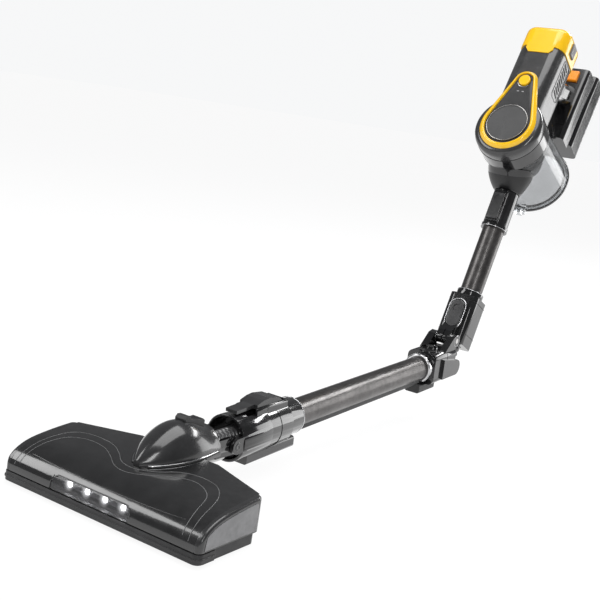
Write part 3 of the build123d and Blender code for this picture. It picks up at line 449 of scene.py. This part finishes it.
def curve(points, steps=10, closed=False):
    """Smooth run of points through given ones."""
    n, out = len(points), []
    for i in range(n if closed else n - 1):
        if closed:
            a, b, c, d = (points[(i + k) % n] for k in (-1, 0, 1, 2))
        else:
            a, b, c, d = (points[min(max(i + k, 0), n - 1)] for k in (-1, 0, 1, 2))
        for s in range(steps):
            t = s / steps
            out.append(tuple(0.5 * (2 * q + (r - p) * t + (2 * p - 5 * q + 4 * r - u) * t * t
                                    + (3 * q - p - 3 * r + u) * t ** 3)
                             for p, q, r, u in zip(a, b, c, d)))
    return out if closed else out + [tuple(points[-1])]


trees = {}


def hit(name, start, direction):
    """Where a ray meets a CAD node: the point and the outward normal."""
    if name not in trees:
        mesh = nodes[name].data
        trees[name] = BVHTree.FromPolygons([v.co for v in mesh.vertices],
                                           [tuple(p.vertices) for p in mesh.polygons])
    point, normal, _, _ = trees[name].ray_cast(Vector(start), Vector(direction))
    if point is None:
        return None, None
    return point, -normal if normal.dot(Vector(direction)) > 0 else normal


# ---------------------------------------------------------------- floor head
def on_cover(x, y):
    """Point and normal on top of the head's cover."""
    return hit("head_cover", (x * MM, y * MM, 0.2), (0, 0, -1))


def laid(found, name, width, height, material):
    """A bead on the head through the points that rays found."""
    found = [f for f in found if f[0] is not None]
    strip(name, [point for point, _ in found], [normal for _, normal in found], width, height,
          material, "head")


def cover_line(name, run, width, height, material):
    """A bead on the cover along a smooth run of (x, y) points."""
    laid([on_cover(x, y) for x, y in curve(run, 12)], name, width, height, material)


outer_line = [(-112, -57), (-110, -40), (-108, -15), (-103, 4), (-92, 14), (-72, 17), (-50, 13),
              (-32, 2), (-18, -9), (0, -12), (20, -4), (38, 12), (58, 18), (80, 14), (95, 0),
              (103, -18), (107, -38), (110, -57)]
inner_line = [(-106, -56), (-104, -38), (-100, -16), (-92, -2), (-74, 5), (-52, 2), (-34, -8),
              (-18, -19), (0, -22), (20, -14), (40, 0), (60, 6), (78, 0), (90, -12), (97, -34),
              (102, -56)]
# panel lines: a dark bead as painted shade of the groove, and a lighter bead beside it as painted
# highlight on the groove's edge
for label, run in (("outer", outer_line), ("inner", inner_line)):
    cover_line(f"panel_groove_shade_{label}", run, 1.0, 0.12, SEAM_SHADE)
    cover_line(f"panel_edge_highlight_{label}", [(x, y - 0.9) for x, y in run], 0.6, 0.22, MID)
# long crease across the lower front
cover_line("front_crease", [(-100, -47), (-60, -49), (0, -50), (60, -49), (96, -47)],
           1.0, 0.45, COVER)


def dome_edge(side, y):
    """Where the dome stands on the cover, from the side."""
    top, _ = on_cover(side * 45, min(y, 50))
    z = (top.z if top else 0.05) + 0.0012
    return hit("neck_dome", (side * 0.06, y * MM, z), (-side, 0, 0))


STRAIGHT_UP = Vector((0, 0, 1))
# round the dome's foot: a bright bead as painted highlight on its lower edge, and a dark bead below
# it as painted shade in the gap
rim_highlight_points, gap_shade_points = [], []
for side, ys in ((1, range(84, -6, -3)), (-1, range(-4, 86, 3))):
    for y in ys:
        point, _ = dome_edge(side, y)
        if point:
            point = point + MM * Vector((0.4 * side, 0, 0))
            rim_highlight_points.append(point)
            outward = 1 if point.x > 0 else -1
            gap_shade_points.append(point + MM * Vector((0.9 * outward, 0, -0.8)))
flat_strip("dome_rim_highlight", rim_highlight_points, STRAIGHT_UP, 1.1, 0.9, CHROME_AND_HIGHLIGHT, "head")
flat_strip("dome_gap_shade", gap_shade_points, STRAIGHT_UP, 1.2, 0.5, SEAM_SHADE, "head")

# bezel of the light window, with cut top corners
front_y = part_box("led_window")[0].y


def on_front(x, z):
    """Point and normal on the head's front face at a height."""
    start = (x * MM, -0.2, z * MM)
    point, normal = hit("head_cover", start, (0, 1, 0))
    if point is None or point.y > front_y + 0.012:
        point, normal = hit("led_window", start, (0, 1, 0))
    return point, normal


bezel_run = [(-61, 14.4), (-61, 22), (-55, 28), (35, 28), (41, 22), (41, 14.4)]
bezel = []
for (xa, za), (xb, zb) in zip(bezel_run, bezel_run[1:]):
    count = max(2, int(hypot(xb - xa, zb - za) / 3))
    bezel += [on_front(xa + (xb - xa) * i / count, za + (zb - za) * i / count)
              for i in range(count)]
laid(bezel, "window_bezel", 1.3, 0.7, DARK)

# lamps: a domed lens, its collar and a halo on the lamp board, just behind the window
LAMP_FIRST, LAMP_PITCH, LAMP_Z = -43, 23, 21.5
lens_dome = [(0, 3.1), (0.5, 2.9), (0.9, 2.2), (1.1, 1.2), (1.2, 0.02), (0, 0.02)]
collar = [(0, 4.4), (0.8, 4.2), (0.6, 3.3), (0, 3.2)]
halo_disc = [MM * 7.3 * Vector((cos(pi * k / 16), 0, sin(pi * k / 16))) for k in range(32)]
board_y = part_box("led_lights")[0].y
for i in range(4):
    x = (LAMP_FIRST + LAMP_PITCH * i) * MM
    place = Place((x, board_y - 0.1 * MM, LAMP_Z * MM), (0, -1, 0))
    lathe(f"lamp_lens_{i + 1}", place, (0,), lens_dome, LENS, "head", steps=28)
    lathe(f"lamp_collar_{i + 1}", place, (0,), collar, CHROME_AND_HIGHLIGHT, "head", steps=28)
    aura = piece(f"lamp_halo_{i + 1}", halo_disc, [tuple(range(32))], HALO, None)
    aura.location = (x, board_y - 2.4 * MM, LAMP_Z * MM)
    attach(aura, "head")

# raised plates on the flat end faces of the head
SIDES = (("left", -1), ("right", 1))
END_X, PLATE_LOW = 124.6, 15.5
for label, side in SIDES:
    inner = []
    for y in range(-50, 22, 3):
        top, _ = hit("side_covers", (side * 0.121, y * MM, 0.2), (0, 0, -1))
        if top:
            inner.append((y, top.z / MM - 4.4))
    front, rear = inner[0], inner[-1]
    outline = [(front[0] - 2, PLATE_LOW), (front[0] - 1.2, front[1] - 7), *inner,
               (21.5, rear[1] - 1.5), (23, PLATE_LOW)]
    verts = [MM * Vector((side * END_X, y, z)) for y, z in outline]
    slab(f"end_plate_{label}", verts, Vector((side, 0, 0)), 0.45, MID, "head", bevel=0.35)

# brush: fine tufts in three wrapped rows
roll_lo, roll_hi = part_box("brush_roll")
roll_middle = (roll_lo + roll_hi) / 2
ROLL_CORE = 10.6                 # radius where the tufts stand on the roll
TUFTS_START, TUFT_PITCH, TUFT_TURN = -107, 1.02, 1.36
verts, faces = [], []
for row in range(3):
    for i in range(200):
        x = (TUFTS_START + TUFT_PITCH * i) * MM
        a = radians(row * 120 + i * TUFT_TURN + 7 * sin(i * 2.3))
        out = Vector((0.05 * sin(i * 5.1), cos(a), sin(a)))
        turn = Vector((0, -sin(a), cos(a)))
        foot = Vector((x, roll_middle.y, roll_middle.z)) + MM * ROLL_CORE * out
        tip = foot + MM * (5.5 + 0.35 * sin(i * 3.7)) * out + MM * 0.5 * sin(i * 1.9) * turn
        n = len(verts)
        for p, w in ((foot, 0.42), (tip, 0.2)):
            verts += [p + MM * w * u * Vector((1, 0, 0)) + MM * w * v * turn
                      for u, v in ((1, 0), (-0.5, 0.87), (-0.5, -0.87))]
        faces += [(n, n + 1, n + 4, n + 3), (n + 1, n + 2, n + 5, n + 4),
                  (n + 2, n, n + 3, n + 5), (n + 3, n + 4, n + 5)]
tufts = piece("brush_tufts", verts, faces, BRISTLE, "brush")
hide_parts("brush_bristles")


# ---------------------------------------------------------------- hoses
PER_RING = 8                     # sections along each ring of a bellows


def ribbed(name, centres, aheads, radius, rise):
    """Bellows along a run: rounded rings between narrow valleys."""
    steps = 48
    side = Vector((1, 0, 0))
    verts = []
    for i, (centre, ahead) in enumerate(zip(centres, aheads)):
        wave = 0.5 - 0.5 * cos(2 * pi * i / PER_RING)
        r = radius + rise * wave ** 0.7
        other = ahead.cross(side).normalized()
        verts += [centre + MM * r * (cos(2 * pi * k / steps) * side
                                     + sin(2 * pi * k / steps) * other) for k in range(steps)]
    obj = piece(name, verts, skin(len(centres), steps), HOSE, None)
    wall = obj.modifiers.new("wall", "SOLIDIFY")
    wall.thickness = 1.2 * MM
    wall.offset = -1
    return obj


NECK_START, NECK_LENGTH, NECK_RINGS = -30, 69, 12
count = NECK_RINGS * PER_RING + 1
line = [LOW(NECK_START + NECK_LENGTH * i / (count - 1)) for i in range(count)]
neck = ribbed("neck_bellows", line, [LOW.ahead] * count, 8.9, 2.5)
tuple(LOW(-14))
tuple(LOW(24))
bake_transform(neck)
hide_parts("neck_hose")

# the knee's hose leaves each half straight and bends smoothly between their lips
low_lip, up_lip = LOW(504), UP(-84.6)
handle = 0.45 * (up_lip - low_lip).length
middle = 0.5 * (low_lip + up_lip) + 0.375 * handle * (LOW.ahead - UP.ahead)
knots = [LOW(471), LOW(488), low_lip, middle, up_lip, UP(-68), UP(-51)]
path = [Vector(p) for p in curve([tuple(k) for k in knots], 24)]
KNEE_RINGS = 15
count = KNEE_RINGS * PER_RING + 1
lengths = [0.0]
for p, q in zip(path, path[1:]):
    lengths.append(lengths[-1] + (q - p).length)
line, j = [], 0
for i in range(count):
    want = lengths[-1] * i / (count - 1)
    while j < len(path) - 2 and lengths[j + 1] < want:
        j += 1
    t = (want - lengths[j]) / max(lengths[j + 1] - lengths[j], 1e-9)
    line.append(path[j].lerp(path[j + 1], t))
aheads = [(line[min(i + 1, count - 1)] - line[max(i - 1, 0)]).normalized() for i in range(count)]
bend = ribbed("knee_bellows", line, aheads, 11.0, 1.7)
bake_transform(bend)
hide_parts("knee_hose")

# ---------------------------------------------------------------- connector and tubes
lathe("connector_lip", LOW, (10,), loop(1.3, (0.9, 24.6)), GLOSS, "connector", steps=96)
for d, r in ((60.0, 25.15), (78.0, 25.05), (99.6, 24.6)):
    lathe(f"connector_seam_{int(d)}", LOW, (d,), loop(0.35, (0, r), 0.8, 8), SEAM_SHADE, "connector",
          steps=96)
# thin bright beads at the ends of the connector, collars and coupler: painted highlights along
# these edges
for name, place, d, thin, r, body in (
        ("connector_bright_ring", LOW, 126.2, 0.7, 21.2, "connector"),
        ("collar_bright_edge", LOW, 431.5, 0.5, 19.8, "lower_wand"),
        ("upper_bright_edge", UP, -1.2, 0.55, 19.2, "upper_wand"),
        ("coupler_bright_edge", UP, 101.0, 0.5, 19.5, "upper_wand")):
    lathe(name, place, (d,), loop(thin, (0, r), 0.9), CHROME_AND_HIGHLIGHT, body, steps=96)


def sideways(centre, side=1):
    """A place whose axis points sideways, for round things on a cross pin."""
    place = Place(centre, (side, 0, 0))
    place.side = Vector((0, 0, 1))
    return place


# caps over the ends of the neck's cross pins
pin_cap = [(0, 4.8), (0.5, 4.6), (0.8, 3.8), (0.5, 2.4), (0.5, 0.02), (0, 0.02)]
for label, side in SIDES:
    lathe(f"pin_cap_{label}", sideways(LOW(0, 0, side * 24.6), side), (0,), pin_cap, DARK,
          "barrel", steps=40)

# ---------------------------------------------------------------- knee
# bright beads round the release button, along the dish's rim and on the knuckles: painted
# highlights along these edges
rim_points = [UP(-42 + y, 25.5, x) for x, y in rounded(25.2, 45.2, 12.5, 10)]
flat_strip("knee_button_rim", rim_points, UP.rise, 1.6, 0.9, CHROME_AND_HIGHLIGHT, "upper_wand", closed=True)
DISH_D, DISH_R = 458, 11.9
dish = []
for i in range(23):
    a = radians(-88 + 8 * i)
    if DISH_R * sin(a) > -1:
        dish.append(LOW(DISH_D + DISH_R * sin(a), 26.3, DISH_R * cos(a)))
flat_strip("knee_dish_rim", dish, LOW.rise, 1.3, 0.6, CHROME_AND_HIGHLIGHT, "lower_wand")
for k, x in enumerate((-20.2, -10.15, 10.15, 20.2)):
    lathe(f"knuckle_ring_{k + 1}", sideways(LOW(502, 32, x)), (0,), loop(0.35, (0, 7.9), 1.0, 8),
          CHROME_AND_HIGHLIGHT, "lower_wand", steps=48)
for name, place, d, body in (("knee_seam_66", UP, -66, "upper_wand"),
                             ("knee_seam_18", UP, -18, "upper_wand"),
                             ("knee_seam_low", LOW, 476, "lower_wand")):
    ring = [place(d, y, x) for x, y in rounded(44.4, 44.4, 9.2, 6)]
    band(name, ring, place(d), 0.6, 0.12, SEAM_SHADE, body)


# ---------------------------------------------------------------- hand unit
def teardrop(big, small, steps=28):
    """Hull outline of a large circle under the plate and a small one at the button: (x, d)."""
    lean = acos((big - small) / (BUTTON_D - RING_D))
    out = []
    for i in range(steps + 1):
        a = -lean + 2 * lean * i / steps
        out.append((small * sin(a), BUTTON_D + small * cos(a)))
    for i in range(2 * steps + 1):
        a = lean + (2 * pi - 2 * lean) * i / (2 * steps)
        out.append((big * sin(a), RING_D + big * cos(a)))
    return out


# inlet hopper: a smooth skin just proud of it, wherever rays from outside meet its wall
SKIN_ROWS, SKIN_STEPS, SKIN_PROUD = 26, 72, 0.15
NEAREST, FURTHEST, RAY_START = 12, 42, 70
low_end, high_end = UP(163), HAND(80, 21.8)
across = Vector((1, 0, 0))
upward = (high_end - low_end).normalized().cross(across)
verts, held = [], []
for i in range(SKIN_ROWS):
    centre = low_end.lerp(high_end, i / (SKIN_ROWS - 1))
    for k in range(SKIN_STEPS):
        a = 2 * pi * k / SKIN_STEPS
        out = cos(a) * across + sin(a) * upward
        point, normal = hit("main_frame", centre + MM * RAY_START * out, -out)
        on_wall = point is not None and normal.dot(out) > 0.45
        held.append(on_wall and NEAREST < (point - centre).length / MM < FURTHEST)
        verts.append(point + MM * SKIN_PROUD * out if point else centre)
faces = [face for face in skin(SKIN_ROWS, SKIN_STEPS) if all(held[v] for v in face)]
piece("hopper_skin", verts, faces, HOPPER, "hand")

# vents: slanted slots on both sides of the motor barrel, drawn as flat dark patches of painted
# shade
SLOT_START, SLOT_PITCH, SLOT_FOOT = 199.4, 6.6, 47.5
slot_outline = ((0, 0), (3.6, 0), (6.6, 15), (3.0, 15))
for label, side in reversed(SIDES):
    verts = [HAND(SLOT_START + SLOT_PITCH * i + u, SLOT_FOOT + v, side * BARREL_WIDTH / 2)
             for i in range(8) for u, v in slot_outline]
    faces = [tuple(range(4 * i, 4 * i + 4)) for i in range(8)]
    piece(f"vent_slots_{label}", verts, faces, SEAM_SHADE, "hand", smooth=False)

# yellow ring: broad sloping outer face, rolled top edge and an inner wall, as
# (radius round the plate, radius round the button, height)
sections = ((41.6, 18.2, 91.3), (41.2, 18.0, 92.3), (39.4, 16.6, 94.6), (37.8, 15.4, 96.3),
            (36.6, 14.6, 96.9), (35.4, 13.8, 97.0), (34.4, 13.1, 96.7), (33.8, 12.7, 96.0),
            (33.3, 12.3, 94.0), (33.2, 12.2, 91.3))
outlines = [[HAND(d, t, x) for x, d in teardrop(big, small)] for big, small, t in sections]
verts = [point for outline in outlines for point in outline]
ring = piece("yellow_ring", verts, skin(len(outlines), len(outlines[0]), closed=True), YELLOW,
             "hand")
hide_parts("trim_ring")
# the round plate's rim as a thin steel ring; its brightness is a painted highlight on the rim
lathe("plate_rim", HAND, (RING_D, 96.6), loop(0.45, (0.1, 29.6), 0.8), STEEL, "hand",
      axis="rise", steps=96)
# a bright arc part-way round the power button as a painted highlight, and a dark ring round it as
# painted shade in its gap
lathe("button_highlight_arc", HAND, (BUTTON_D, 94.7), loop(0.5, (0, 10.2), 0.7), CHROME_AND_HIGHLIGHT, "hand",
      axis="rise", turn=(200, 320), steps=40)
lathe("button_gap_shade", HAND, (BUTTON_D, 94.6), loop(0.45, (0, 9.3), 0.7), SEAM_SHADE, "hand",
      axis="rise", steps=64)
for k, x in enumerate((-4.2, 3.2)):
    mark = [HAND(176 + y, 94.55, x + u) for u, y in rounded(3.4, 1.1, 0.5, 4)]
    slab(f"status_mark_{k + 1}", mark, HAND.rise, 0.18, PALE, "hand")
# seams and beads round the housing and the cup
for name, t, section, material, body in (
        ("housing_seam", 73.0, loop(0.4, (0, 50.0), 0.8, 8), SEAM_SHADE, "hand"),
        ("band_bright_edge", 48.2, loop(0.4, (0.3, 49.8), 0.8, 8), DARK, "hand"),
        ("cup_top_bead", 46.2, loop(0.7, (0, 47.9), 1.1, 10), CUP_CLEAR, "cup"),
        ("cup_low_bead", -55.5, loop(0.8, (0, 53.8), 1.2, 10), CUP_CLEAR, "cup")):
    lathe(name, HAND, (CUP, t), section, material, body, axis="rise", steps=96)
CAP_D = 258.1
cap_line = [HAND(CAP_D, BARREL + t, x) for x, t in rounded(BARREL_WIDTH, BARREL_WIDTH, 17, 10)]
band("barrel_seam", cap_line, HAND(CAP_D, BARREL), 0.8, 0.1, SEAM_SHADE, "hand")
# a dark sheet behind the vents as painted shade inside them, a raised frame round them, and grip
# grooves on the cap latches drawn as dark strips of painted shade
VENT_D = 225
lining = [(-30, 31.45), (30, 31.45), (30, 31.1), (-30, 31.1)]
for label, turn in (("right", (-30, 18)), ("left", (162, 210))):
    lathe(f"vent_shade_sheet_{label}", HAND, (VENT_D, BARREL), lining, SEAM_SHADE, "hand", turn=turn,
          steps=24)
LATCH_X, GROOVE_START, GROOVE_PITCH = 38.0, 270.5, 2.7
for label, side in reversed(SIDES):
    outward = Vector((side, 0, 0))
    frame_run = [HAND(VENT_D + u, 55 + v, side * 34.0) for u, v in rounded(62, 26, 6, 8)]
    flat_strip(f"vent_frame_{label}", frame_run, outward, 1.1, 0.6, SHELL, "hand", closed=True)
    for k in range(5):
        d = GROOVE_START + GROOVE_PITCH * k
        groove = [HAND(d + u, 59 + v, side * LATCH_X) for u, v in rounded(0.7, 11, 0.3, 3)]
        slab(f"latch_groove_{label}_{k + 1}", groove, outward, 0.15, SEAM_SHADE, f"cap_latch_{label}")

# black rim of the dust cup's door, with a bright ring inside it
rim_profile = [(-6.3, 50.0), (-6.6, 52.4), (-5.9, 54.6), (-4.2, 55.6), (-1.2, 55.8), (-0.4, 55.6),
               (-0.4, 54.6), (-4.0, 54.2), (-5.4, 52.8), (-5.9, 50.0)]
lathe("door_rim", HAND, (CUP, -58.0), rim_profile, GLOSS, "door", axis="rise", steps=96)
lathe("door_bright_ring", HAND, (CUP, -64.5), loop(0.5, (0, 50.6), 0.8, 8), CHROME_AND_HIGHLIGHT, "door",
      axis="rise", steps=96)

# grip: pale inset panel on each side and a ribbed trigger on its front
grip_top, grip_foot = HAND(207, 34), HAND(246, -44)
down = (grip_foot - grip_top).normalized()
inward = HAND.side.cross(down)
if inward.dot(HAND.ahead) < 0:
    inward = -inward


def on_grip(u, v, x=0.0):
    """Point u down the grip's front edge, v in from it."""
    return grip_top + MM * (u * down + v * inward + x * HAND.side)


def across_run(half, count):
    """Places across the object from one side to the other."""
    return [half * (2 * i / count - 1) for i in range(count + 1)]


inset = [(22, 9), (48, 12), (56, 17), (58, 24), (52, 29), (40, 30), (27, 27), (21, 20)]
for label, side in SIDES:
    outline = [on_grip(u, v, side * 15.9) for u, v in curve(inset, 6, closed=True)]
    slab(f"grip_inset_{label}", outline, Vector((side, 0, 0)), 0.5, MID, "hand", bevel=0.3)
for k in range(7):
    rib = [on_grip(22.5 + 4.2 * k, -6.6 - 0.6 * sin(k * 1.2), x) for x in across_run(6.2, 12)]
    flat_strip(f"trigger_rib_{k + 1}", rib, -inward, 1.3, 0.9, MID, "trigger")

# battery: side lines, a dark one as painted shade of a groove and a bright one as painted
# highlight, fine ribs under the pack, and ribs on the release tab
for label, side in SIDES:
    outward = Vector((side, 0, 0))
    for k, (t, material) in enumerate(((-86, SEAM_SHADE), (-112, CHROME_AND_HIGHLIGHT))):
        groove = [HAND(209 + 112 * i / 24, t, side * 29.0) for i in range(25)]
        flat_strip(f"battery_line_{label}_{k + 1}", groove, outward, 0.8, 0.25, material,
                   "battery")
    bead = [HAND(198 + 113 * i / 24, -62, side * 27.0) for i in range(25)]
    flat_strip(f"dock_line_{label}", bead, outward, 0.8, 0.2, SEAM_SHADE, "hand")
for k in range(30):
    rib = [HAND(209 + 3.9 * k, -120.2, x) for x in across_run(20, 10)]
    flat_strip(f"battery_rib_{k + 1}", rib, -HAND.rise, 1.6, 0.1, SATIN, "battery")
for k in range(3):
    rib = [HAND(295.5 + 5.0 * k, -39.05, x) for x in across_run(9, 8)]
    flat_strip(f"release_rib_{k + 1}", rib, HAND.rise, 1.3, 0.25, ORANGE, "battery_release")

# ---------------------------------------------------------------- stage and light
FLOOR_HALF, FLOOR_MIDDLE, FLOOR_DROP = 30.0, 0.4, 0.0002       # metres
paper = finish("pale_paper", (0.09, 0.09, 0.091), 0.7, tint=0.01, wear=0, bump=0.02, grain=300)
paper_shader = paper.node_tree.nodes["Principled BSDF"]
paper_shader.inputs["Emission Color"].default_value = (1, 1, 1, 1)
paper_shader.inputs["Emission Strength"].default_value = 0.91
corners = [Vector((u * FLOOR_HALF, v * FLOOR_HALF + FLOOR_MIDDLE, -FLOOR_DROP))
           for u, v in ((-1, -1), (1, -1), (1, 1), (-1, 1))]
floor = piece("floor", corners, [(0, 1, 2, 3)], paper, None, smooth=False)


def studio_world():
    """A bright plain backdrop, seen directly or through clear parts, that lights only dimly."""
    world = bpy.data.worlds.new("studio")
    world.use_nodes = True
    tree = world.node_tree
    backdrop = tree.nodes["Background"]
    backdrop.inputs["Color"].default_value = (0.93, 0.935, 0.94, 1)
    backdrop.inputs["Strength"].default_value = 1.0
    dim = tree.nodes.new("ShaderNodeBackground")
    dim.inputs["Color"].default_value = (0.75, 0.76, 0.78, 1)
    dim.inputs["Strength"].default_value = 0.22
    seen = tree.nodes.new("ShaderNodeLightPath")
    either = tree.nodes.new("ShaderNodeMath")
    either.operation = "MAXIMUM"
    choose = tree.nodes.new("ShaderNodeMixShader")
    for source, target in ((seen.outputs["Is Camera Ray"], either.inputs[0]),
                           (seen.outputs["Is Transmission Ray"], either.inputs[1]),
                           (either.outputs[0], choose.inputs[0]),
                           (dim.outputs[0], choose.inputs[1]),
                           (backdrop.outputs[0], choose.inputs[2]),
                           (choose.outputs[0], tree.nodes["World Output"].inputs["Surface"])):
        tree.links.new(source, target)
    return world


scene.world = studio_world()


def softbox(name, place, target, width, height, power):
    """Rectangular studio light aimed at a point."""
    light = bpy.data.lights.new(name, "AREA")
    light.shape = "RECTANGLE"
    light.size, light.size_y = width, height
    light.energy = power
    obj = bpy.data.objects.new(name, light)
    obj.location = place
    obj.rotation_euler = (Vector(target) - Vector(place)).to_track_quat("-Z", "Y").to_euler()
    obj.visible_camera = False
    scene.collection.objects.link(obj)


softbox("top_light", (0.1, 0.4, 2.7), (0, 0.4, 0.2), 2.4, 2.0, 55)
softbox("rear_right_card", (1.2, 2.5, 0.5), (0, 0.8, 0.4), 1.1, 1.2, 14)
softbox("rear_strip", (0.5, 2.6, 1.7), (0, 0.4, 0.1), 1.5, 0.4, 26)
softbox("left_key", (-1.7, -1.0, 1.5), (0, 0.3, 0.2), 1.0, 1.2, 20)
softbox("front_strip", (1.6, -1.5, 1.5), (0, 0.3, 0.2), 0.35, 1.6, 16)
